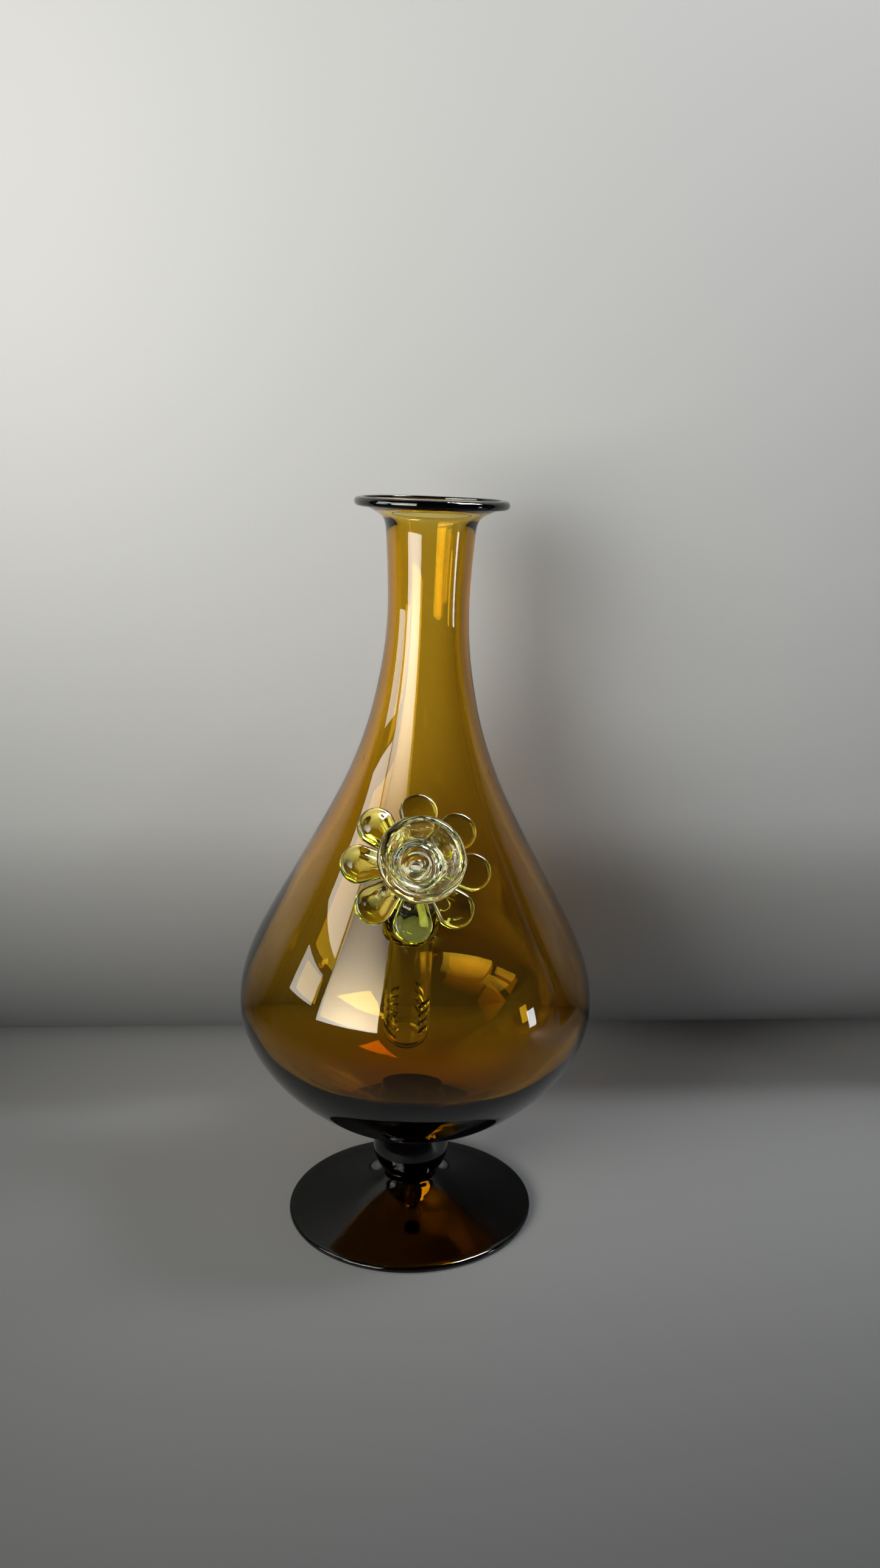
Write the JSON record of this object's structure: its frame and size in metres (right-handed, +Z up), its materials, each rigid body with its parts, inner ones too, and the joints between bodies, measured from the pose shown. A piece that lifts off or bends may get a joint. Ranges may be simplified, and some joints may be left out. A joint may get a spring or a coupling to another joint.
{
  "type": "footed glass vase with removable flower slide",
  "caption": "Footed blown-glass vase with long neck, flared lip, inner slotted downstem and a removable flower-shaped cup in a ground shoulder port.",
  "frame": {"origin": "centre of the flat resting ring under the foot", "axes": "+Z up, -Y towards the flower slide, +X to the right seen from the front"},
  "size_m": [0.1119, 0.1179, 0.2321],
  "materials": {
    "amber_glass": "gloss",
    "dark_glass": "gloss",
    "clear_glass": "gloss",
    "frosted_glass": "frosted",
    "citrine_glass": "gloss"
  },
  "bodies": {
    "vessel": {"vase_body": "amber_glass", "lip_wrap": "dark_glass", "knop": "dark_glass", "foot_disc": "dark_glass", "port_socket": "clear_glass", "downstem": "amber_glass"},
    "stem": {"slide_stem": "frosted_glass"},
    "flower": {"slide_neck": "clear_glass", "cup": "clear_glass", "petal_1": "citrine_glass", "petal_2": "citrine_glass", "petal_3": "citrine_glass", "petal_4": "citrine_glass", "petal_5": "citrine_glass", "petal_6": "citrine_glass", "petal_7": "citrine_glass", "petal_8": "citrine_glass"}
  },
  "joints": [
    {"name": "slide_pull", "type": "slide", "parent": "vessel", "child": "stem", "axis": [0.0373, -0.3581, 0.9329], "range_m": [0, 0.03]},
    {"name": "slide_twist", "type": "hinge", "parent": "stem", "child": "flower", "pos_m": [0.00118, -0.03712, 0.11943], "axis": [0.0373, -0.3581, 0.9329], "range_deg": [-25, 25]}
  ]
}
